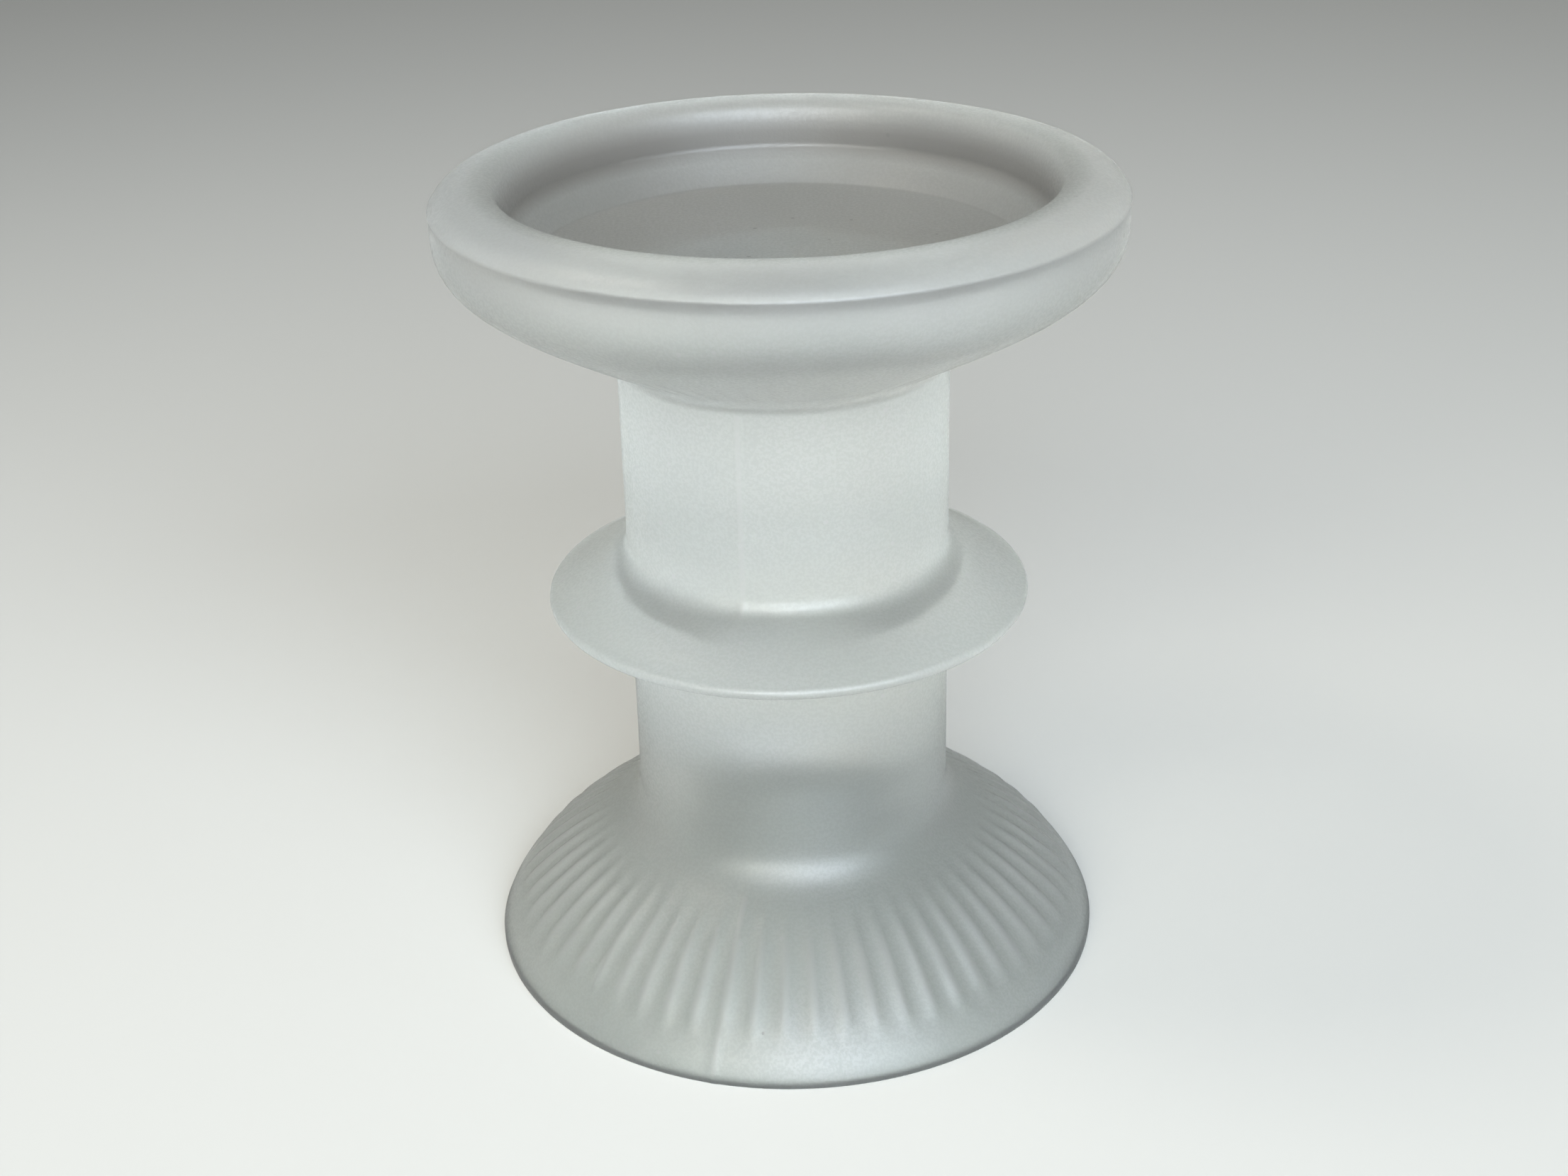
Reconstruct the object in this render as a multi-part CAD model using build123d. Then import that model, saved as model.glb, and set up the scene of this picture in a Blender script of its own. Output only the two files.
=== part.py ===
from build123d import *
import math
import os

# A tealight holder pressed in one piece of frosted glass, in millimetres, +Z up.
# The origin is at the middle of the ring that the foot stands on.
# From the bottom up it has a hollow bell foot with fine ribs, a stem, a thin sloping
# collar part-way up the stem, and a shallow dished cup with a rounded rim.

# Overall sizes
overall_height = 103.4
foot_radius = 40.0
cup_radius = 41.0
stem_radius = 20.3

# Bell foot, from the standing ring up to the stem
foot_height = 18.8
foot_edge = 1.0
foot_land = 2.2
foot_round = 0.5
bell_shoulder = 13.5
bell_shoulder_slope = 32.5
bell_skirt_rise = 3.5
bell_skirt_inset = 1.2
bell_wall = 3.0

# Ribs on the bell, as fractions of the way down its slope
rib_count = 60
rib_height = 0.35
rib_fill = 0.86
rib_top = 0.05
rib_crown = 0.39
rib_bottom = 0.76
rib_sink = 0.12
rib_root = 0.5

# Hollow that runs up from the foot into the lower stem
hollow_height = 32.0
hollow_neck_wall = 4.6
hollow_draft = 1.6
hollow_dome = 5.0

# Collar on the stem
collar_radius = 29.7
collar_height = 48.7
collar_edge = 1.5
collar_rise = 5.3
collar_under_rise = 1.0

# Cup, measured down from the crest of its rim and inwards from its widest circle
cup_depth = 22.0
cup_underside_bulge = 0.3
cup_underside_rise = 11.0
cup_wall_bulge = 0.5
cup_wall_height = 7.8
parting_drop = 2.5
parting_flash = 0.2
parting_thickness = 0.3
rim_corner_inset = 1.06
rim_corner_drop = 0.31
crest_inset = 5.3
groove_inset = 8.4
groove_drop = 5.9
band_width = 3.0
band_drop = 4.6

# Places worked out from the sizes above
parting_height = overall_height - parting_drop
cup_bottom = overall_height - cup_depth
crest_radius = cup_radius - crest_inset
groove_radius = cup_radius - groove_inset
groove_height = overall_height - groove_drop
floor_radius = groove_radius - band_width
floor_height = groove_height - band_drop
collar_top = collar_height + collar_edge + collar_rise
collar_under = collar_height + collar_under_rise
neck_radius = stem_radius - hollow_neck_wall


def point(radius, height):
    """A point of the turned section: radius out from the axis, height above the table."""
    return Vector(radius, 0, height)


def bell_curve():
    """The outside of the bell, from the stem down to the top of the foot's upright edge."""
    slope = math.tan(math.radians(bell_shoulder_slope))
    return Bezier(
        point(stem_radius, foot_height),
        point(stem_radius + bell_shoulder, foot_height - bell_shoulder * slope),
        point(foot_radius - bell_skirt_inset, foot_edge + bell_skirt_rise),
        point(foot_radius, foot_edge),
    )


def foot_section():
    """The outline from the axis at table height, round the foot's edge, up to the stem."""
    land = Line(point(0, 0), point(foot_radius - foot_round, 0))
    edge = Line(point(foot_radius - foot_round, 0), point(foot_radius, foot_round))
    upright = Line(point(foot_radius, foot_round), point(foot_radius, foot_edge))
    return [land, edge, upright, bell_curve()]


def collar_section():
    """The stem below the collar, the collar's underside, edge and sloping top."""
    lower_stem = Line(point(stem_radius, foot_height), point(stem_radius, collar_under))
    underside = Line(point(stem_radius, collar_under), point(collar_radius, collar_height))
    middle = collar_height + collar_edge / 2
    edge = ThreePointArc(
        point(collar_radius, collar_height),
        point(collar_radius + collar_edge / 2, middle),
        point(collar_radius, collar_height + collar_edge),
    )
    top = Line(point(collar_radius, collar_height + collar_edge), point(stem_radius, collar_top))
    upper_stem = Line(point(stem_radius, collar_top), point(stem_radius, cup_bottom))
    return [lower_stem, underside, edge, top, upper_stem]


def cup_section():
    """The cup's underside and wall, the parting line, the rounded rim and the dished inside."""
    flash_bottom = parting_height - parting_thickness
    underside = Bezier(
        point(stem_radius, cup_bottom),
        point(cup_radius + cup_underside_bulge, cup_bottom + cup_underside_rise),
        point(cup_radius + cup_wall_bulge, parting_height - cup_wall_height),
        point(cup_radius, flash_bottom),
    )
    flash_under = Line(
        point(cup_radius, flash_bottom),
        point(cup_radius + parting_flash, flash_bottom),
    )
    flash_edge = Line(
        point(cup_radius + parting_flash, flash_bottom),
        point(cup_radius, parting_height),
    )
    rim_outside = Bezier(
        point(cup_radius, parting_height),
        point(cup_radius - rim_corner_inset, overall_height - rim_corner_drop),
        point(crest_radius, overall_height),
    )
    rim_inside = Bezier(
        point(crest_radius, overall_height),
        point(groove_radius, overall_height),
        point(groove_radius, groove_height),
    )
    band = Line(point(groove_radius, groove_height), point(floor_radius, floor_height))
    floor = Line(point(floor_radius, floor_height), point(0, floor_height))
    return [underside, flash_under, flash_edge, rim_outside, rim_inside, band, floor]


def turned(edges, top, bottom):
    """The solid turned from an open outline that is closed along the axis."""
    axis_edge = Line(point(0, top), point(0, bottom))
    return revolve(make_face(Wire([*edges, axis_edge])), Axis.Z, 360)


def rib():
    """One rib: a shallow round-topped bar bent along the bell, proud at its crown and sunk at its ends."""
    curve = bell_curve()
    half_width = rib_fill * math.pi * curve.position_at(rib_crown).X / rib_count
    top_radius = (half_width**2 + rib_height**2) / (2 * rib_height)
    crest_points = []
    for way, proud in ((rib_top, -rib_sink), (rib_crown, rib_height), (rib_bottom, -rib_sink)):
        along = curve.tangent_at(way)
        outwards = Vector(-along.Z, 0, along.X)
        crest_points.append(curve.position_at(way) + outwards * proud)
    crest = ThreePointArc(*crest_points)
    depth = rib_height + rib_root
    root_half_width = math.sqrt(top_radius**2 - (top_radius - depth) ** 2)
    round_top = ThreePointArc((-root_half_width, -depth), (0, 0), (root_half_width, -depth))
    root = Line((root_half_width, -depth), (-root_half_width, -depth))
    across = Plane(origin=crest @ 0, x_dir=(0, 1, 0), z_dir=crest % 0)
    return sweep(across * make_face([round_top, root]), path=crest)


def hollow():
    """The space inside the bell and lower stem, drafted so that the plunger can be drawn out."""
    curve = bell_curve()
    shoulder = math.radians(bell_shoulder_slope)
    neck_height = foot_height - bell_wall
    mouth_radius = foot_radius - foot_land
    inner_bell = Bezier(
        point(mouth_radius, 0),
        point(mouth_radius - bell_skirt_inset, bell_skirt_rise),
        point(neck_radius + bell_shoulder, neck_height - bell_shoulder * math.tan(shoulder)),
        point(neck_radius, neck_height),
    )
    mouth = Line(point(0, 0), point(mouth_radius, 0))
    dome_base = hollow_height - hollow_dome
    neck = Line(point(neck_radius, neck_height), point(neck_radius - hollow_draft, dome_base))
    dome = Bezier(
        point(neck_radius - hollow_draft, dome_base),
        point(neck_radius - hollow_draft, hollow_height),
        point(0, hollow_height),
    )
    return turned([mouth, inner_bell, neck, dome], hollow_height, 0)


def glass_holder():
    """The whole holder: one piece of glass."""
    outside = turned([*foot_section(), *collar_section(), *cup_section()], floor_height, 0)
    first_rib = rib()
    pitch = 360 / rib_count
    ribs = [Rot(0, 0, pitch * (turn + 0.5)) * first_rib for turn in range(rib_count)]
    return (outside - hollow()).fuse(*ribs[::2]).fuse(*ribs[1::2])


os.makedirs("parts", exist_ok=True)
export_step(glass_holder(), "parts/glass_holder.step")
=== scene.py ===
"""A pressed, frosted-glass tealight holder: the detailed glass, its finish, and a small studio.

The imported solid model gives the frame. The glass is one closed surface: an outline turned
round the upright axis, with ribs, mould seams and the slight waviness of pressed glass
added along the outline's outward normal. All lengths are in metres.
"""

import math

import bpy
import numpy as np
from bpy.props import (
    FloatProperty,
    FloatVectorProperty,
    IntProperty,
    PointerProperty,
)
from bpy.types import Operator, Panel, PropertyGroup
from mathutils import Euler, Matrix, Vector


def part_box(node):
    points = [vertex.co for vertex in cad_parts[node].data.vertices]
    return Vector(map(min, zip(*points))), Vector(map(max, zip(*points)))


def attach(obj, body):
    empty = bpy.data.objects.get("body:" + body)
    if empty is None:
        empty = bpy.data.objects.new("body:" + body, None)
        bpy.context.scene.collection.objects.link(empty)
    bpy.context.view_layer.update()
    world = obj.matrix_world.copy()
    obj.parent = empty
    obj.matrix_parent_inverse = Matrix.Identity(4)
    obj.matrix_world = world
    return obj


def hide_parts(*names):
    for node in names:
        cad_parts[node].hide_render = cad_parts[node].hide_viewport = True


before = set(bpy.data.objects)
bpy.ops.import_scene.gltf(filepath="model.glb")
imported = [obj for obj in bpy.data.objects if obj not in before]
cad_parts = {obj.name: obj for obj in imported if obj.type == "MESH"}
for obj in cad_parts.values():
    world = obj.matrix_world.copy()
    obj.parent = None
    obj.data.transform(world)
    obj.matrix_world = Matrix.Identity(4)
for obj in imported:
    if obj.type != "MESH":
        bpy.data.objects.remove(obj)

bl_info = {
    "name": "Pressed Glass Tealight Holder",
    "version": (1, 0, 0),
    "blender": (4, 5, 0),
    "location": "3D View > Sidebar > Tealight Holder",
    "description": "Builds a frosted pressed-glass tealight holder and a plain studio round it",
    "category": "Add Mesh",
}

CAD_NODE = "glass_holder"
MM = 0.001
CAD_LOW, CAD_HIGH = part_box(CAD_NODE)
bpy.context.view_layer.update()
WHITE = (1.0, 1.0, 1.0)

# The cup, measured down from the crest of its rim and inwards from its wall
CREST_INSET = 5.3 * MM
GROOVE_INSET = 8.4 * MM
GROOVE_DROP = 5.9 * MM
BAND_WIDTH = 3.0 * MM
BAND_DROP = 4.6 * MM
PARTING_DROP = 2.5 * MM
CUP_DEPTH = 22.0 * MM
RIM_CORNER_INSET = 1.06 * MM
RIM_CORNER_DROP = 0.31 * MM
RIM_INNER_RUN = 0.9 * MM
RIM_INNER_DROP = 0.6 * MM
FLASH_TIP_DROP = 0.22 * MM
WALL_START_DROP = 0.5 * MM
WALL_START_SHARE = 0.55
WALL_BULGE = 0.35 * MM
WALL_HEIGHT = 7.8 * MM
UNDERSIDE_RUN = 21.0 * MM
UNDERSIDE_RISE = 11.0 * MM

# The rounding of the cup's inner corners and of its turn into the stem
FLOOR_CORNER_RUN = 0.6 * MM
BAND_FOOT_RUN, BAND_FOOT_RISE = 0.25 * MM, 0.38 * MM
BAND_HEAD_RUN, BAND_HEAD_DROP = 0.2 * MM, 0.31 * MM
GROOVE_CORNER_RISE = 0.4 * MM
TUCK_START = 0.93
TUCK_DROP = 1.4 * MM

# The collar and its fillets
COLLAR_EDGE = 1.5 * MM
COLLAR_RISE = 5.3 * MM
COLLAR_UNDER_RISE = 1.0 * MM
COLLAR_FILLET = 1.8 * MM
UNDER_FILLET_RUN, UNDER_FILLET_DROP = 0.9 * MM, 0.1 * MM

# The bell foot, from the stem down to the table
BELL_TOP = 18.8 * MM
BELL_START = 0.10
SHOULDER_RUN, SHOULDER_HEIGHT = 13.5 * MM, 10.2 * MM
SKIRT_INSET, SKIRT_HEIGHT = 1.2 * MM, 4.5 * MM
FOOT_EDGE_HEIGHT = 1.0 * MM
FOOT_ROUND = 0.5 * MM
STEM_FILLET_TOP = 22.6 * MM
LAND_WIDTH = 1.8 * MM

# The hollow, from its mouth up to its domed top
MOUTH_INSET, MOUTH_ROUND = 2.2 * MM, 0.6 * MM
INNER_SKIRT_INSET, INNER_SKIRT_HEIGHT = 1.0 * MM, 3.5 * MM
INNER_SHOULDER_HEIGHT = 7.2 * MM
NECK_WALL, NECK_HEIGHT = 4.6 * MM, 15.8 * MM
NECK_CORNER_START = 0.9
NECK_CORNER_INSET, NECK_CORNER_TOP = 0.2 * MM, 18.2 * MM
NECK_DRAFT = 1.6 * MM
DOME_HEIGHT, DOME_SHOULDER_DROP, DOME_CROWN_INSET = 9.0 * MM, 3.0 * MM, 7.0 * MM

# Where the ribs rise and die away, as fractions of the way down the bell
RIB_RISE = (0.08, 0.30)
RIB_FALL = (0.50, 0.74)

# How much of its full height a mould seam has on each zone of the outline
SEAM_SHARES = {
    "rim": 0.12,
    "flash": 0.12,
    "cup_wall": 0.2,
    "upper_stem": 0.8,
    "collar": 0.2,
    "lower_stem": 0.15,
    "bell": 1.0,
    "foot_edge": 0.4,
}

# Flutes low on the cup's underside: the radii between which they rise and die away
FLUTE_RISE = (22.0 * MM, 25.0 * MM)
FLUTE_FALL = (27.0 * MM, 33.0 * MM)

# Waves of the pressed surface: share, waves round, turn offset, radians per mm up, offset
WAVES = ((0.6, 3, 0.7, 0.19, 0.4), (0.4, 7, 2.1, 0.41, 1.3))
WAVE_FADE_RADIUS = 8.0 * MM
UNWAVED_ZONES = ("land", "mouth", "foot_edge", "flash")

# Painted shade inside the cup: how dark it is on its band, on its floor and along its groove
BAND_PAINTED_SHADE, FLOOR_PAINTED_SHADE, GROOVE_PAINTED_SHADE = 0.72, 0.84, 0.6
PAINTED_SHADE_RUN = 5.0 * MM
PAINTED_SHADE_RIM_DROP, PAINTED_SHADE_RIM_CUT = 4.5 * MM, 0.35
GROOVE_LINE, GROOVE_REACH = 0.35 * MM, 0.5 * MM

# Painted light on the rim: how much paler its outer half is made, and the insets and drops between
# which that fades
RIM_PAINTED_LIGHT = 0.8
RIM_PAINTED_LIGHT_INSETS = (7.0 * MM, 4.0 * MM)
RIM_PAINTED_LIGHT_DROPS = (12.0 * MM, 4.0 * MM)

# Painted shade in the hollow: how dark it is at its mouth, and the heights between which that grows
# to 1
MOUTH_PAINTED_SHADE = 0.65
PAINTED_SHADE_RISE = (4.0 * MM, 18.0 * MM)


def length(name, description, default, low=0.0):
    """A setting in metres."""
    return FloatProperty(
        name=name,
        description=description,
        default=default,
        min=low,
        unit="LENGTH",
    )


def share(name, description, default):
    """A setting from 0 to 1."""
    return FloatProperty(
        name=name,
        description=description,
        default=default,
        min=0.0,
        max=1.0,
        subtype="FACTOR",
    )


def tint(name, description, default):
    """A colour setting."""
    return FloatVectorProperty(
        name=name,
        description=description,
        default=default,
        min=0.0,
        max=1.0,
        subtype="COLOR",
    )


def power(name, description, default):
    """A setting for a light, in watts."""
    return FloatProperty(
        name=name,
        description=description,
        default=default,
        min=0.0,
        unit="POWER",
    )


class HolderShape(PropertyGroup):
    """The sizes of the glass that a user would change."""

    overall_height: length(
        "Overall height",
        "From the table to the crest of the rim",
        CAD_HIGH.z - CAD_LOW.z,
        low=0.02,
    )
    flash_proud: length(
        "Parting flash",
        "How far the flash of the mould's parting line stands out from the cup",
        0.2 * MM,
    )
    widest_radius: length(
        "Widest radius",
        "Radius of the cup at its parting flash",
        (CAD_HIGH.x - CAD_LOW.x) / 2,
        low=0.01,
    )
    foot_radius: length("Foot radius", "Radius of the bell foot at the table", 40.0 * MM, low=0.01)
    stem_radius: length(
        "Stem radius",
        "Radius of the stem above and below the collar",
        20.3 * MM,
        low=0.005,
    )
    collar_radius: length(
        "Collar radius",
        "Radius at the root of the collar's rounded edge",
        29.7 * MM,
        low=0.005,
    )
    collar_height: length(
        "Collar height",
        "Height of the lower side of the collar's edge above the table",
        48.7 * MM,
        low=0.005,
    )
    hollow_height: length(
        "Hollow height",
        "Top of the hollow that runs up from the foot into the stem",
        32.0 * MM,
        low=0.005,
    )
    rib_count: IntProperty(
        name="Ribs",
        description="Number of ribs round the bell foot",
        default=60,
        min=8,
    )
    rib_columns: IntProperty(
        name="Columns per rib",
        description="Columns of the surface's grid in the width of one rib",
        default=10,
        min=4,
    )
    rib_height: length(
        "Rib height",
        "How far the crest of a rib stands above the valley beside it",
        0.33 * MM,
    )
    seam_turn: FloatProperty(
        name="Seam direction",
        description="Where the first of the two mould seams is, counted round from +X",
        default=math.radians(254.4),
        subtype="ANGLE",
    )
    seam_height: length(
        "Seam height",
        "How far the mould seams stand out from the glass",
        0.14 * MM,
    )
    seam_width: length("Seam width", "Half the width of a mould seam", 0.45 * MM, low=0.05 * MM)
    flute_height: length(
        "Flute height",
        "Height of the faint flutes low on the cup's underside",
        0.05 * MM,
    )
    waviness: length("Waviness", "Slow unevenness of the pressed surface", 0.05 * MM)


class GlassFinish(PropertyGroup):
    """The look of the frosted glass."""

    glass_tint: tint("Glass tint", "Main colour of the frosted glass", (0.92, 0.955, 0.925))
    cloud_tint: tint(
        "Cloud tint",
        "Colour of the slightly milkier clouds in the glass",
        (0.965, 0.985, 0.97),
    )
    # Painted shade: the darker, greyer colour laid on the glass inside the hollow foot
    hollow_painted_shade_tint: tint(
        "Hollow tint",
        "Greyer colour of the glass inside the hollow foot",
        (0.26, 0.28, 0.255),
    )
    # Painted shade: the dark colour laid on the glass inside the cup
    dish_painted_shade_tint: tint(
        "Dish tint",
        "Smoky colour of the glass inside the cup",
        (0.20, 0.187, 0.178),
    )
    transmission: share(
        "Transmission",
        "Share of the light that passes through the frosted surface",
        0.94,
    )
    roughness: share("Frosting", "Roughness of the etched surface", 0.44)
    refraction: FloatProperty(
        name="Refraction",
        description="Index of refraction of soda-lime glass",
        default=1.5,
        min=1.0,
        max=2.5,
    )
    gloss: share("Gloss", "Strength of the glass's surface reflection", 0.35)
    grain_size: length(
        "Grain size",
        "Size of the grains that the etching leaves",
        0.35 * MM,
        low=0.05 * MM,
    )
    speck_spacing: length(
        "Speck spacing",
        "Spacing of the small white specks in the surface",
        4.2 * MM,
        low=1.0 * MM,
    )
    cloud_size: length("Cloud size", "Size of the milky clouds", 22.0 * MM, low=1.0 * MM)


class StudioSettings(PropertyGroup):
    """The floor and the light."""

    floor_color: tint("Floor colour", "Colour of the plain floor", (0.50, 0.495, 0.475))
    floor_size: length("Floor size", "Side of the square floor", 8.0, low=0.5)
    window_power: power(
        "Window power",
        "Power of the large soft light in front of the holder, on the right",
        6.4,
    )
    window_color: tint("Window colour", "Colour of the large soft light", (0.80, 0.90, 1.0))
    lamp_power: power("Lamp power", "Power of the warmer soft light in front, on the left", 2.6)
    lamp_color: tint("Lamp colour", "Colour of the warmer soft light", (1.0, 0.98, 0.88))
    ceiling_power: power(
        "Ceiling lamp power",
        "Power of the small warm lamp overhead, on the left",
        0.2,
    )
    ceiling_color: tint("Ceiling lamp colour", "Colour of the lamp overhead", (1.0, 0.93, 0.82))
    fill_power: power("Fill power", "Power of the soft light behind the holder, on the left", 0.35)
    fill_color: tint("Fill colour", "Colour of the soft light behind", (1.0, 0.97, 0.9))
    room_light: FloatProperty(
        name="Room light",
        description="Brightness of the even light from all round",
        default=0.27,
        min=0.0,
    )
    room_color: tint("Room colour", "Colour of the room at eye level", (1.0, 0.99, 0.94))
    overhead_color: tint("Overhead colour", "Colour of the room overhead", (0.74, 0.72, 0.66))


# ---------------------------------------------------------------- the turned outline


def straight(start, end, steps):
    """A straight run: start + (end - start) t, for t from 0 up to, but not at, 1."""
    t = np.linspace(0.0, 1.0, steps, endpoint=False)[:, None]
    start, end = np.array(start), np.array(end)
    return start + (end - start) * t


def rounded(start, corner, end, steps):
    """A corner rounded by a parabola: (1-t)^2 start + 2 t (1-t) corner + t^2 end."""
    t = np.linspace(0.0, 1.0, steps, endpoint=False)[:, None]
    start, corner, end = np.array(start), np.array(corner), np.array(end)
    return (1 - t) ** 2 * start + 2 * t * (1 - t) * corner + t**2 * end


def swept(controls, steps, begin=0.0, finish=1.0):
    """A cubic Bezier curve: the four controls weighted by (1-t)^3, 3t(1-t)^2, 3t^2(1-t), t^3."""
    t = np.linspace(begin, finish, steps, endpoint=False)[:, None]
    a, b, c, d = (np.array(control) for control in controls)
    return (1 - t) ** 3 * a + 3 * t * (1 - t) ** 2 * b + 3 * t**2 * (1 - t) * c + t**3 * d


def half_round(centre, radius, bulge, steps):
    """Half an ellipse from the top of an edge to its underside, swelling outwards by bulge."""
    turn = np.linspace(math.pi / 2, -math.pi / 2, steps, endpoint=False)[:, None]
    return np.array(centre) + np.hstack([np.cos(turn) * bulge, np.sin(turn) * radius])


def wall_radius(shape):
    """Radius of the cup's wall, inside its parting flash."""
    return shape.widest_radius - shape.flash_proud


def cup_outline(shape):
    """The cup from the middle of its floor, over the rim, and down its underside to the stem."""
    top, wall, stem = shape.overall_height, wall_radius(shape), shape.stem_radius
    crest, groove = wall - CREST_INSET, wall - GROOVE_INSET
    groove_height = top - GROOVE_DROP
    floor_radius, floor_height = groove - BAND_WIDTH, groove_height - BAND_DROP
    parting, under = top - PARTING_DROP, top - CUP_DEPTH
    floor_start = (floor_radius - FLOOR_CORNER_RUN, floor_height)
    band_start = (floor_radius + BAND_FOOT_RUN, floor_height + BAND_FOOT_RISE)
    band_end = (groove - BAND_HEAD_RUN, groove_height - BAND_HEAD_DROP)
    wall_start = (groove, groove_height + GROOVE_CORNER_RISE)
    rim_inside = [
        wall_start,
        (groove, top - RIM_INNER_DROP),
        (groove + RIM_INNER_RUN, top),
        (crest, top),
    ]
    rim_corner = (wall - RIM_CORNER_INSET, top - RIM_CORNER_DROP)
    flash_tip = (shape.widest_radius, parting - FLASH_TIP_DROP)
    underside = [
        (wall + WALL_START_SHARE * shape.flash_proud, parting - WALL_START_DROP),
        (wall + WALL_BULGE, parting - WALL_HEIGHT),
        (stem + UNDERSIDE_RUN, under + UNDERSIDE_RISE),
        (stem, under),
    ]
    tuck_start = swept(underside, 2, TUCK_START, 1.0)[0]
    return [
        ("cup_floor", straight((0.0, floor_height), floor_start, steps=4)),
        ("cup_floor", rounded(floor_start, (floor_radius, floor_height), band_start, steps=4)),
        ("cup_band", straight(band_start, band_end, steps=3)),
        ("cup_band", rounded(band_end, (groove, groove_height), wall_start, steps=4)),
        ("rim", swept(rim_inside, steps=9)),
        ("rim", rounded((crest, top), rim_corner, (wall, parting), steps=8)),
        ("flash", straight((wall, parting), flash_tip, steps=1)),
        ("flash", straight(flash_tip, underside[0], steps=1)),
        ("cup_wall", swept(underside, steps=18, finish=TUCK_START)),
        ("cup_wall", rounded(tuck_start, (stem, under), (stem, under - TUCK_DROP), steps=5)),
    ]


def stem_outline(shape):
    """The stem from the cup down to the bell, with the sloping collar between."""
    stem, edge, low = shape.stem_radius, shape.collar_radius, shape.collar_height
    high = low + COLLAR_EDGE
    top, under = high + COLLAR_RISE, low + COLLAR_UNDER_RISE
    slope = (top - high) / (edge - stem)
    half_edge = COLLAR_EDGE / 2
    cup_end = (stem, shape.overall_height - CUP_DEPTH - TUCK_DROP)
    fillet_start = (stem, top + COLLAR_FILLET)
    collar_start = (stem + COLLAR_FILLET, top - COLLAR_FILLET * slope)
    below = (stem + UNDER_FILLET_RUN, under - UNDER_FILLET_DROP)
    under_end = (stem, under - UNDER_FILLET_RUN)
    return [
        ("upper_stem", straight(cup_end, fillet_start, steps=5)),
        ("upper_stem", rounded(fillet_start, (stem, top), collar_start, steps=6)),
        ("collar", straight(collar_start, (edge, high), steps=4)),
        ("collar", half_round((edge, low + half_edge), half_edge, half_edge, steps=8)),
        ("collar", straight((edge, low), below, steps=2)),
        ("collar", rounded(below, (stem, under), under_end, steps=3)),
    ]


def foot_outline(shape):
    """The lower stem, the soft turn into the bell, the bell, its edge and the standing ring."""
    stem, foot = shape.stem_radius, shape.foot_radius
    bell = [
        (stem, BELL_TOP),
        (stem + SHOULDER_RUN, SHOULDER_HEIGHT),
        (foot - SKIRT_INSET, SKIRT_HEIGHT),
        (foot, FOOT_EDGE_HEIGHT),
    ]
    bell_start = swept(bell, 2, BELL_START, 1.0)[0]
    collar_end = shape.collar_height + COLLAR_UNDER_RISE - UNDER_FILLET_RUN
    fillet_start = (stem, STEM_FILLET_TOP)
    land_start = (foot - FOOT_ROUND, 0.0)
    return [
        ("lower_stem", straight((stem, collar_end), fillet_start, steps=5)),
        ("lower_stem", rounded(fillet_start, (stem, BELL_TOP), bell_start, steps=8)),
        ("bell", swept(bell, steps=32, begin=BELL_START)),
        ("foot_edge", straight((foot, FOOT_EDGE_HEIGHT), (foot, FOOT_ROUND), steps=1)),
        ("foot_edge", rounded((foot, FOOT_ROUND), (foot, 0.0), land_start, steps=4)),
        ("land", straight(land_start, (foot - LAND_WIDTH, 0.0), steps=2)),
    ]


def hollow_outline(shape):
    """The inside of the bell, the drafted neck and the domed top, ending on the axis."""
    foot, top = shape.foot_radius, shape.hollow_height
    mouth, neck = foot - MOUTH_INSET, shape.stem_radius - NECK_WALL
    inner_bell = [
        (mouth, MOUTH_ROUND),
        (mouth - INNER_SKIRT_INSET, INNER_SKIRT_HEIGHT),
        (neck + SHOULDER_RUN, INNER_SHOULDER_HEIGHT),
        (neck, NECK_HEIGHT),
    ]
    shoulder = swept(inner_bell, 2, NECK_CORNER_START, 1.0)[0]
    neck_start = (neck - NECK_CORNER_INSET, NECK_CORNER_TOP)
    dome = [
        (neck - NECK_DRAFT, top - DOME_HEIGHT),
        (neck - NECK_DRAFT, top - DOME_SHOULDER_DROP),
        (neck - DOME_CROWN_INSET, top),
        (0.0, top),
    ]
    return [
        ("mouth", rounded((foot - LAND_WIDTH, 0.0), (mouth, 0.0), inner_bell[0], steps=3)),
        ("hollow", swept(inner_bell, steps=11, finish=NECK_CORNER_START)),
        ("hollow", rounded(shoulder, (neck, NECK_HEIGHT), neck_start, steps=4)),
        ("hollow", straight(neck_start, dome[0], steps=3)),
        ("hollow", swept(dome, steps=8)),
    ]


def full_outline(shape):
    """The whole outline as one array of (radius, height), with the zone name of each point."""
    runs = cup_outline(shape) + stem_outline(shape) + foot_outline(shape) + hollow_outline(shape)
    points = np.vstack([run for _, run in runs] + [[[0.0, shape.hollow_height]]])
    zones = np.concatenate([np.full(len(run), zone) for zone, run in runs] + [["hollow"]])
    return points, zones


# ---------------------------------------------------------------- relief on the outline


def ramp(low, high, values):
    """A smooth step: 0 below low, 1 above high, and 3x^2 - 2x^3 between."""
    x = np.clip((values - low) / (high - low), 0.0, 1.0)
    return x * x * (3.0 - 2.0 * x)


def rib_relief(shape, zones, turn):
    """Ribs on the bell, from 0 in a valley to 1 on a crest.

    The relief is cos(pi f)^3 e, where f runs from -1/2 to 1/2 across a rib and e rises
    and falls along the bell, so that a rib dies away at both ends.
    """
    bell = zones == "bell"
    way = np.zeros(len(zones))
    way[bell] = np.linspace(BELL_START, 1.0, bell.sum(), endpoint=False)
    envelope = np.where(bell, ramp(*RIB_RISE, way) * (1.0 - ramp(*RIB_FALL, way)), 0.0)
    across = np.mod(turn / (2 * math.pi) * shape.rib_count, 1.0) - 0.5
    return np.cos(math.pi * across)[None, :] ** 3 * envelope[:, None]


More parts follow.
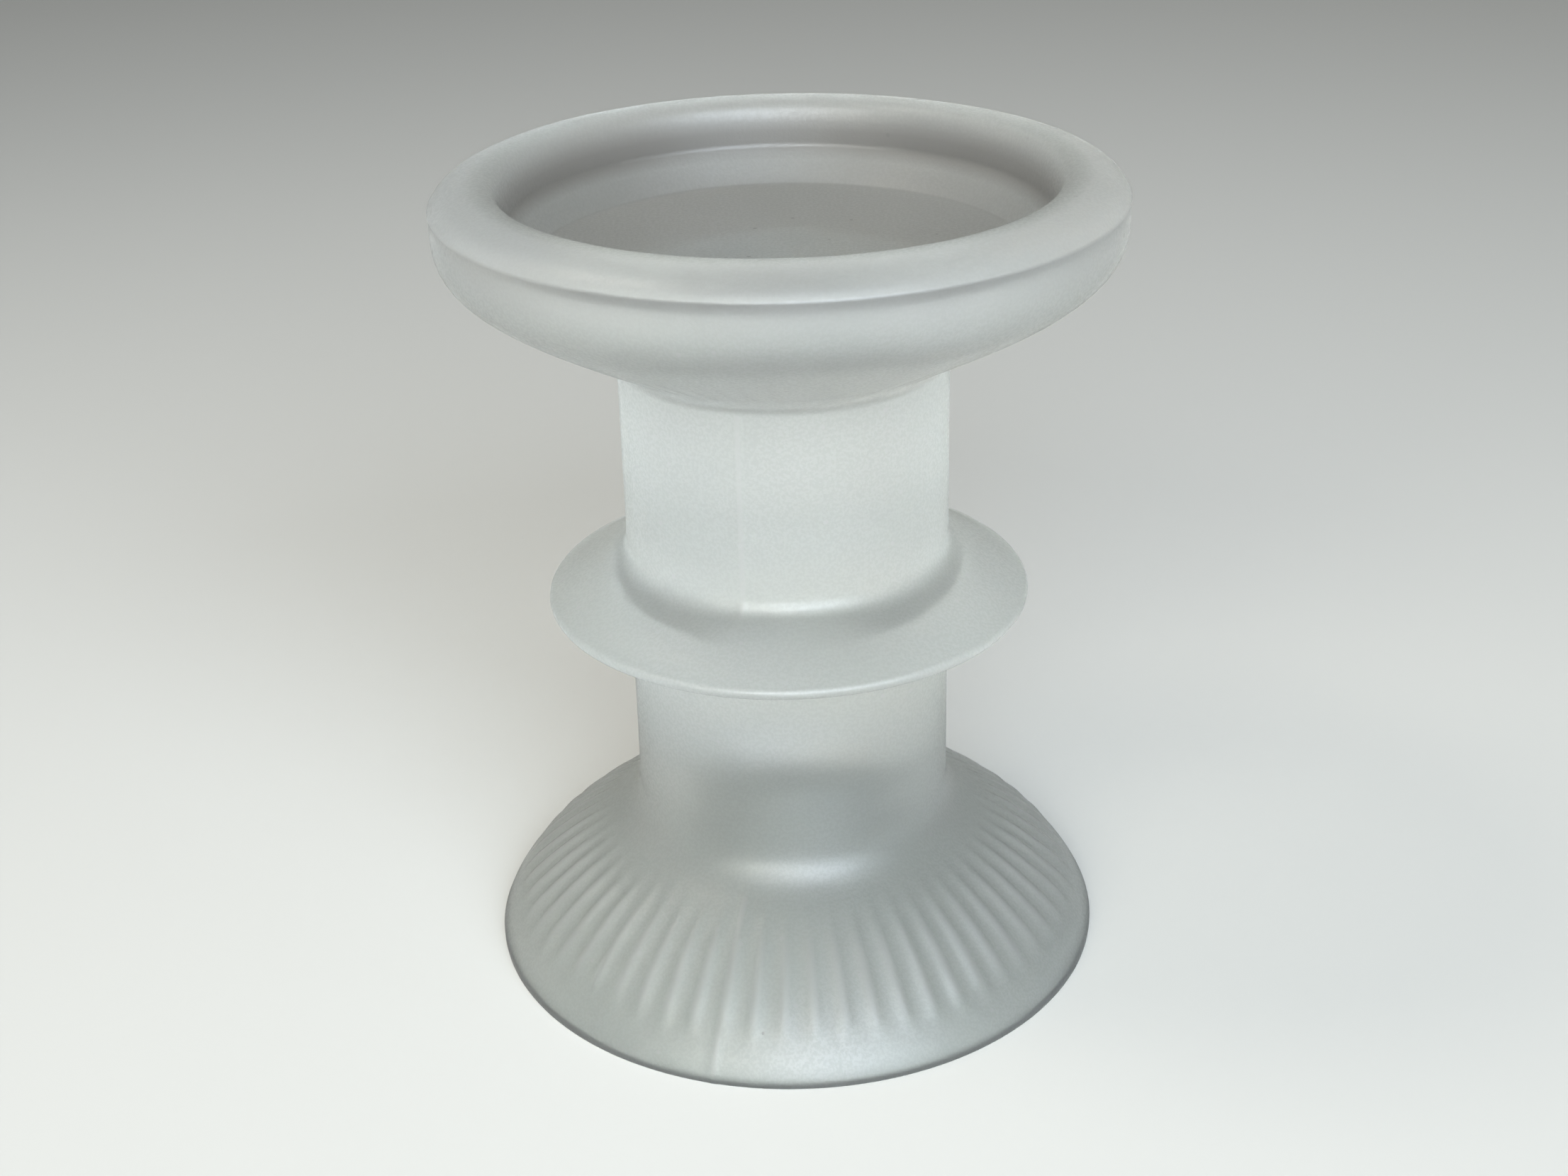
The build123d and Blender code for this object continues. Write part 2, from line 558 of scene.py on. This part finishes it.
def seam_relief(shape, points, zones, turn):
    """Two opposite mould seams: 1 / (1 + (d / width)^4), d being the distance along the circle."""
    shares = np.zeros(len(zones))
    for zone, value in SEAM_SHARES.items():
        shares[zones == zone] = value
    angle = np.mod(turn - shape.seam_turn + math.pi / 2, math.pi) - math.pi / 2
    distance = np.abs(angle)[None, :] * points[:, :1]
    return shares[:, None] / (1.0 + (distance / shape.seam_width) ** 4)


def flute_relief(shape, points, zones, turn):
    """Faint flutes low on the cup's underside: a raised cosine with one wave for each rib."""
    radius = points[:, 0]
    along = np.where(zones == "cup_wall", ramp(*FLUTE_RISE, radius), 0.0)
    along = along * (1.0 - ramp(*FLUTE_FALL, radius))
    return along[:, None] * (0.5 + 0.5 * np.cos(shape.rib_count * turn))[None, :]


def wave_relief(points, zones, turn):
    """Slow waves: the sum of products of a sine of the turn and a sine of the height.

    They fade to nothing at the poles and leave the ground and moulded edges alone.
    """
    waved = ~np.isin(zones, UNWAVED_ZONES)
    fade = ramp(0.0, WAVE_FADE_RADIUS, points[:, 0]) * waved
    height = points[:, 1:] / MM
    waves = 0.0
    for part, rounds, turn_offset, per_mm, height_offset in WAVES:
        round_wave = np.sin(rounds * turn + turn_offset)[None, :]
        waves = waves + part * round_wave * np.sin(per_mm * height + height_offset)
    return fade[:, None] * waves


def outward(points):
    """Unit normals of the outline: the direction along it, turned a quarter turn outwards."""
    along = np.gradient(points, axis=0)
    along /= np.linalg.norm(along, axis=1, keepdims=True)
    return np.column_stack([-along[:, 1], along[:, 0]])


# ---------------------------------------------------------------- weights for the finish, with its painted light and shade


def dish_painted_shade_weight(shape, points, zones):
    """How dark the painted shade inside the cup is: a share for each zone, and a line of painted
    shade along the groove.

    The line is exp(-(d / width)^2), d being the height above or below the groove.
    """
    radius, height = points[:, 0], points[:, 1]
    top, groove = shape.overall_height, wall_radius(shape) - GROOVE_INSET
    inward = 1.0 - ramp(groove, groove + PAINTED_SHADE_RUN, radius)
    upward = ramp(top - PAINTED_SHADE_RIM_DROP, top, height)
    weight = np.where(zones == "rim", inward * (1.0 - PAINTED_SHADE_RIM_CUT * upward), 0.0)
    weight = np.where(zones == "cup_band", BAND_PAINTED_SHADE, weight)
    weight = np.where(zones == "cup_floor", FLOOR_PAINTED_SHADE, weight)
    near_groove = np.isin(zones, ["cup_band", "rim"]) & (radius < groove + GROOVE_REACH)
    line = np.exp(-(((height - top + GROOVE_DROP) / GROOVE_LINE) ** 2))
    return np.clip(weight + np.where(near_groove, GROOVE_PAINTED_SHADE * line, 0.0), 0.0, 1.0)


def rim_painted_light(shape, points, zones):
    """How much painted light pales the thick rim: most on its outer half, fading down the cup's
    wall.
    """
    wall, top = wall_radius(shape), shape.overall_height
    outer = ramp(wall - RIM_PAINTED_LIGHT_INSETS[0], wall - RIM_PAINTED_LIGHT_INSETS[1], points[:, 0])
    upper = ramp(top - RIM_PAINTED_LIGHT_DROPS[0], top - RIM_PAINTED_LIGHT_DROPS[1], points[:, 1])
    rim_light = RIM_PAINTED_LIGHT * outer * upper
    return np.where(np.isin(zones, ["rim", "flash", "cup_wall"]), rim_light, 0.0)


def hollow_painted_shade_weight(zones, height):
    """How strong the painted shade in the hollow is: some way at its mouth, rising smoothly to 1 in
    the neck.
    """
    depth = MOUTH_PAINTED_SHADE + (1.0 - MOUTH_PAINTED_SHADE) * ramp(*PAINTED_SHADE_RISE, height)
    return np.isin(zones, ["mouth", "hollow"])[:, None] * depth


# ---------------------------------------------------------------- the glass surface


def glass_surface(shape):
    """The grid of the turned surface with its relief, and the grids of its finish weights and
    painted light and shade.

    A row is a point of the outline and a column a direction round the axis. Each point is
    moved along the outline's outward normal by the relief, then turned round the axis.
    """
    points, zones = full_outline(shape)
    columns = shape.rib_count * shape.rib_columns
    turn = np.linspace(0.0, 2 * math.pi, columns, endpoint=False)
    ribs = rib_relief(shape, zones, turn)
    seams = seam_relief(shape, points, zones, turn)
    lift = np.maximum(shape.rib_height * ribs, shape.seam_height * seams)
    lift += shape.flute_height * flute_relief(shape, points, zones, turn)
    lift += shape.waviness * wave_relief(points, zones, turn)
    normal = outward(points)
    radius = points[:, :1] + lift * normal[:, :1]
    radius = np.minimum(radius, shape.widest_radius)
    height = points[:, 1:] + lift * normal[:, 1:]
    height = np.clip(height, 0.0, shape.overall_height)
    grid = np.stack([radius * np.cos(turn), radius * np.sin(turn), height], axis=-1)
    weights = {
        # The crests of ribs and seams, and painted light on the rim's outer half
        "crest": np.maximum(np.maximum(ribs, seams), rim_painted_light(shape, points, zones)[:, None]),
        # Painted shade in the hollow foot
        "inside": hollow_painted_shade_weight(zones, height),
        # Painted shade inside the cup
        "dish": dish_painted_shade_weight(shape, points, zones)[:, None] * np.ones_like(height),
    }
    return grid, weights


def closed_faces(rows, columns):
    """Quads between the rings and a fan of triangles at each pole, all facing outwards.

    Point 0 is the first pole, point 1 + (row - 1) * columns + column a ring point, and the
    last point the second pole.
    """
    row, column = np.meshgrid(np.arange(rows - 3), np.arange(columns), indexing="ij")
    following = (column + 1) % columns
    here, below = 1 + row * columns, 1 + (row + 1) * columns
    quads = np.stack([here + column, below + column, below + following, here + following], -1)
    ring = np.arange(columns)
    after = (ring + 1) % columns
    last_ring = 1 + (rows - 3) * columns
    last_pole = 1 + (rows - 2) * columns
    first_fan = np.column_stack([np.zeros_like(ring), 1 + ring, 1 + after])
    last_fan = np.column_stack([np.full_like(ring, last_pole), last_ring + after, last_ring + ring])
    return quads.reshape(-1, 4).tolist() + first_fan.tolist() + last_fan.tolist()


def closed_mesh(name, grid, weights):
    """A closed mesh from a grid whose first and last rows are single points on the axis.

    Each of the weights is a grid of values that the mesh keeps as a named attribute.
    """
    rows, columns = grid.shape[:2]
    inner = grid[1:-1].reshape(-1, 3)
    points = np.vstack([grid[0, :1], inner, grid[-1, :1]])
    mesh = bpy.data.meshes.new(name)
    mesh.from_pydata(points.tolist(), [], closed_faces(rows, columns))
    mesh.polygons.foreach_set("use_smooth", np.ones(len(mesh.polygons), bool))
    for weight, values in weights.items():
        flat = np.concatenate([values[0, :1], values[1:-1].ravel(), values[-1, :1]])
        attribute = mesh.attributes.new(weight, "FLOAT", "POINT")
        attribute.data.foreach_set("value", flat.astype(np.float32))
    mesh.update()
    return mesh


# ---------------------------------------------------------------- materials


def new_material(name):
    """An empty node material, with its node and link collections."""
    material = bpy.data.materials.new(name)
    material.use_nodes = True
    material.node_tree.nodes.clear()
    return material, material.node_tree.nodes, material.node_tree.links


def noise(nodes, links, coords, scale, detail, roughness):
    """Fractal noise on the given coordinates, scale being waves per metre."""
    node = nodes.new("ShaderNodeTexNoise")
    node.inputs["Scale"].default_value = scale
    node.inputs["Detail"].default_value = detail
    node.inputs["Roughness"].default_value = roughness
    links.new(coords, node.inputs["Vector"])
    return node.outputs["Fac"]


def near_points(nodes, links, coords, spacing):
    """Distance to the nearest of many scattered points, as a share of their spacing."""
    node = nodes.new("ShaderNodeTexVoronoi")
    node.inputs["Scale"].default_value = 1.0 / spacing
    links.new(coords, node.inputs["Vector"])
    return node.outputs["Distance"]


def carried(nodes, name):
    """The value of a named attribute of the mesh."""
    node = nodes.new("ShaderNodeAttribute")
    node.attribute_name = name
    return node.outputs["Fac"]


def spread(nodes, links, value, low, high, to_low=0.0, to_high=1.0):
    """The value from low to high, carried smoothly onto to_low to to_high."""
    node = nodes.new("ShaderNodeMapRange")
    node.interpolation_type = "SMOOTHSTEP"
    node.inputs["From Min"].default_value = low
    node.inputs["From Max"].default_value = high
    node.inputs["To Min"].default_value = to_low
    node.inputs["To Max"].default_value = to_high
    links.new(value, node.inputs["Value"])
    return node.outputs["Result"]


def blended(nodes, links, factor, first, second):
    """Two colours mixed by a factor. Each may be a colour or another node's output."""
    node = nodes.new("ShaderNodeMix")
    node.data_type = "RGBA"
    links.new(factor, node.inputs["Factor"])
    for socket, value in ((node.inputs["A"], first), (node.inputs["B"], second)):
        if isinstance(value, bpy.types.NodeSocket):
            links.new(value, socket)
        else:
            socket.default_value = (*value, 1.0)
    return node.outputs["Result"]


def greater(nodes, links, first, second):
    """The greater of two values."""
    node = nodes.new("ShaderNodeMath")
    node.operation = "MAXIMUM"
    links.new(first, node.inputs[0])
    links.new(second, node.inputs[1])
    return node.outputs["Value"]


# The grain's waves to its size, its darkness, strength and bump, the paleness of the crests and
# of the rim's painted light, and the shares of their spacing between which the specks fade out
GRAIN_WAVES = 0.9
GRAIN_SHADE = 0.90
GRAIN_STRENGTH = 0.8
GRAIN_ROUGHNESS = 0.06
BUMP_STRENGTH = 0.35
BUMP_HEIGHT = 0.05 * MM
CREST_AND_RIM_LIGHT_PALENESS = 0.7
SPECK_EDGE = (0.05, 0.10)


def frosted_glass(finish):
    """Etched, faintly green glass: milky clouds, fine grain, pale crests, white specks, and painted
    light and shade.
    """
    material, nodes, links = new_material("frosted_glass")
    output = nodes.new("ShaderNodeOutputMaterial")
    shader = nodes.new("ShaderNodeBsdfPrincipled")
    links.new(shader.outputs["BSDF"], output.inputs["Surface"])
    coords = nodes.new("ShaderNodeTexCoord").outputs["Object"]

    clouds = noise(nodes, links, coords, 1.0 / finish.cloud_size, detail=3.0, roughness=0.55)
    grain_scale = GRAIN_WAVES / finish.grain_size
    grain = noise(nodes, links, coords, grain_scale, detail=1.0, roughness=0.6)
    specks = near_points(nodes, links, coords, finish.speck_spacing)
    speck = spread(nodes, links, specks, *SPECK_EDGE, to_low=1.0, to_high=0.0)
    milky = spread(nodes, links, clouds, 0.35, 0.65)
    grain_shade = spread(nodes, links, grain, 0.36, 0.62, to_high=GRAIN_STRENGTH)
    grain_tint = tuple(GRAIN_SHADE * channel for channel in finish.glass_tint)
    crest = carried(nodes, "crest")
    pale_crest_and_rim_light = spread(nodes, links, crest, 0.35, 1.0, to_high=CREST_AND_RIM_LIGHT_PALENESS)

    color = blended(nodes, links, milky, finish.glass_tint, finish.cloud_tint)
    color = blended(nodes, links, grain_shade, color, grain_tint)
    # Paler crests of ribs and seams, and painted light that pales the rim's outer half
    color = blended(nodes, links, pale_crest_and_rim_light, color, WHITE)
    color = blended(nodes, links, speck, color, WHITE)
    # Painted shade in the hollow foot, deepening up into the neck
    color = blended(nodes, links, carried(nodes, "inside"), color, finish.hollow_painted_shade_tint)
    # Painted shade inside the cup, darkest along the groove
    color = blended(nodes, links, carried(nodes, "dish"), color, finish.dish_painted_shade_tint)
    links.new(color, shader.inputs["Base Color"])

    smooth, coarse = finish.roughness - GRAIN_ROUGHNESS, finish.roughness + GRAIN_ROUGHNESS
    rough = spread(nodes, links, grain, 0.3, 0.7, to_low=smooth, to_high=coarse)
    links.new(greater(nodes, links, rough, speck), shader.inputs["Roughness"])

    bump = nodes.new("ShaderNodeBump")
    bump.inputs["Strength"].default_value = BUMP_STRENGTH
    bump.inputs["Distance"].default_value = BUMP_HEIGHT
    links.new(grain, bump.inputs["Height"])
    links.new(bump.outputs["Normal"], shader.inputs["Normal"])

    shader.inputs["IOR"].default_value = finish.refraction
    shader.inputs["Specular IOR Level"].default_value = finish.gloss
    shader.inputs["Transmission Weight"].default_value = finish.transmission
    return material


def plain_floor(studio):
    """A matt floor of one plain pale colour."""
    material, nodes, links = new_material("studio_floor")
    output = nodes.new("ShaderNodeOutputMaterial")
    shader = nodes.new("ShaderNodeBsdfPrincipled")
    shader.inputs["Base Color"].default_value = (*studio.floor_color, 1.0)
    shader.inputs["Roughness"].default_value = 0.9
    shader.inputs["Specular IOR Level"].default_value = 0.2
    links.new(shader.outputs["BSDF"], output.inputs["Surface"])
    return material


# ---------------------------------------------------------------- light and camera

# Each light's place, the point that it is aimed at, and its width and height
RIM_MIDDLE = (0.0, 0.0, 0.11)
HOLDER_MIDDLE = (0.0, 0.0, 0.06)
FOOT_SHOULDER = (-0.01, -0.02, 0.017)
LIGHTS = {
    "window": ((0.22, -0.76, 0.46), RIM_MIDDLE, (1.0, 0.60)),
    "lamp": ((-0.30, -0.76, 0.46), RIM_MIDDLE, (0.8, 0.60)),
    "ceiling": ((-0.30, -0.04, 0.54), FOOT_SHOULDER, (0.14, 0.14)),
    "fill": ((-0.8, 0.25, 0.35), HOLDER_MIDDLE, (0.6, 0.6)),
}
LIGHT_SPREAD = math.radians(90.0)

CAMERA_PLACE = (0.0, -253.1 * MM, 172.7 * MM)
CAMERA_DOWN = math.radians(26.14)
CAMERA_SWING = math.radians(0.14)
CAMERA_ROLL = math.radians(-1.49)
CAMERA_LENS = 50.48
CAMERA_SENSOR = 36.0
CAMERA_NEAR, CAMERA_FAR = 0.01, 20.0


def soft_light(name, place, target, size, watts, color):
    """A rectangular light of size (width, height) at place, aimed at target."""
    light = bpy.data.lights.new(name, "AREA")
    light.shape = "RECTANGLE"
    light.size, light.size_y = size
    light.energy = watts
    light.spread = LIGHT_SPREAD
    light.color = color
    item = bpy.data.objects.new(name, light)
    item.location = place
    item.rotation_mode = "QUATERNION"
    item.rotation_quaternion = (Vector(target) - Vector(place)).to_track_quat("-Z", "Y")
    bpy.context.scene.collection.objects.link(item)
    return item


def room(studio):
    """An even surround that is dimmer overhead than at eye level."""
    world = bpy.data.worlds.new("studio_room")
    world.use_nodes = True
    nodes, links = world.node_tree.nodes, world.node_tree.links
    nodes.clear()
    output = nodes.new("ShaderNodeOutputWorld")
    background = nodes.new("ShaderNodeBackground")
    background.inputs["Strength"].default_value = studio.room_light
    direction = nodes.new("ShaderNodeTexCoord").outputs["Generated"]
    split = nodes.new("ShaderNodeSeparateXYZ")
    links.new(direction, split.inputs["Vector"])
    upward = spread(nodes, links, split.outputs["Z"], 0.05, 0.9)
    color = blended(nodes, links, upward, studio.room_color, studio.overhead_color)
    links.new(color, background.inputs["Color"])
    links.new(background.outputs["Background"], output.inputs["Surface"])
    return world


def studio_camera():
    """A camera before and above the holder, looking down at it."""
    data = bpy.data.cameras.new("studio_camera")
    data.lens = CAMERA_LENS
    data.sensor_width = CAMERA_SENSOR
    data.clip_start, data.clip_end = CAMERA_NEAR, CAMERA_FAR
    camera = bpy.data.objects.new("studio_camera", data)
    facing = Euler((math.pi / 2 - CAMERA_DOWN, 0.0, CAMERA_SWING)).to_matrix()
    facing = facing @ Matrix.Rotation(CAMERA_ROLL, 3, "Z")
    camera.matrix_world = Matrix.LocRotScale(Vector(CAMERA_PLACE), facing, None)
    bpy.context.scene.collection.objects.link(camera)
    return camera


# ---------------------------------------------------------------- operators and panel


class HOLDER_OT_glass(Operator):
    """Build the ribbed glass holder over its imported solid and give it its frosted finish"""

    bl_idname = "holder.glass"
    bl_label = "Build Glass Holder"
    bl_options = {"REGISTER", "UNDO"}

    def execute(self, context):
        scene = context.scene
        grid, weights = glass_surface(scene.holder_shape)
        mesh = closed_mesh("frosted_glass_holder", grid, weights)
        mesh.materials.append(frosted_glass(scene.holder_finish))
        piece = bpy.data.objects.new("frosted_glass_holder", mesh)
        scene.collection.objects.link(piece)
        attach(piece, "root")
        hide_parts(CAD_NODE)
        return {"FINISHED"}


class HOLDER_OT_studio(Operator):
    """Lay the pale floor, hang the soft lights and set the camera"""

    bl_idname = "holder.studio"
    bl_label = "Build Studio"
    bl_options = {"REGISTER", "UNDO"}

    def execute(self, context):
        scene = context.scene
        studio = scene.holder_studio
        half = studio.floor_size / 2
        corners = [(-half, -half, 0), (half, -half, 0), (half, half, 0), (-half, half, 0)]
        mesh = bpy.data.meshes.new("studio_floor")
        mesh.from_pydata(corners, [], [(0, 1, 2, 3)])
        mesh.materials.append(plain_floor(studio))
        floor = bpy.data.objects.new("studio_floor", mesh)
        scene.collection.objects.link(floor)

        for name, (place, target, size) in LIGHTS.items():
            watts = getattr(studio, f"{name}_power")
            color = getattr(studio, f"{name}_color")
            soft_light(name, place, target, size, watts, color)
        scene.world = room(studio)
        scene.camera = studio_camera()
        scene.view_settings.view_transform = "Standard"
        return {"FINISHED"}


class VIEW3D_PT_tealight_holder(Panel):
    """The sidebar panel that lists the settings and the two operators"""

    bl_label = "Tealight Holder"
    bl_space_type = "VIEW_3D"
    bl_region_type = "UI"
    bl_category = "Tealight Holder"

    def draw(self, context):
        scene = context.scene
        for group in (scene.holder_shape, scene.holder_finish, scene.holder_studio):
            column = self.layout.column(align=True)
            for name in group.__annotations__:
                column.prop(group, name)
            self.layout.separator()
        self.layout.operator(HOLDER_OT_glass.bl_idname)
        self.layout.operator(HOLDER_OT_studio.bl_idname)


CLASSES = (
    HolderShape,
    GlassFinish,
    StudioSettings,
    HOLDER_OT_glass,
    HOLDER_OT_studio,
    VIEW3D_PT_tealight_holder,
)


def register():
    """Adds the classes, and the settings to the scene."""
    for item in CLASSES:
        bpy.utils.register_class(item)
    bpy.types.Scene.holder_shape = PointerProperty(type=HolderShape)
    bpy.types.Scene.holder_finish = PointerProperty(type=GlassFinish)
    bpy.types.Scene.holder_studio = PointerProperty(type=StudioSettings)


def unregister():
    """Takes the settings and the classes away again."""
    del bpy.types.Scene.holder_studio
    del bpy.types.Scene.holder_finish
    del bpy.types.Scene.holder_shape
    for item in reversed(CLASSES):
        bpy.utils.unregister_class(item)


def main():
    """Registers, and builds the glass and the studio."""
    register()
    bpy.ops.holder.glass()
    bpy.ops.holder.studio()


if __name__ == "__main__":
    main()
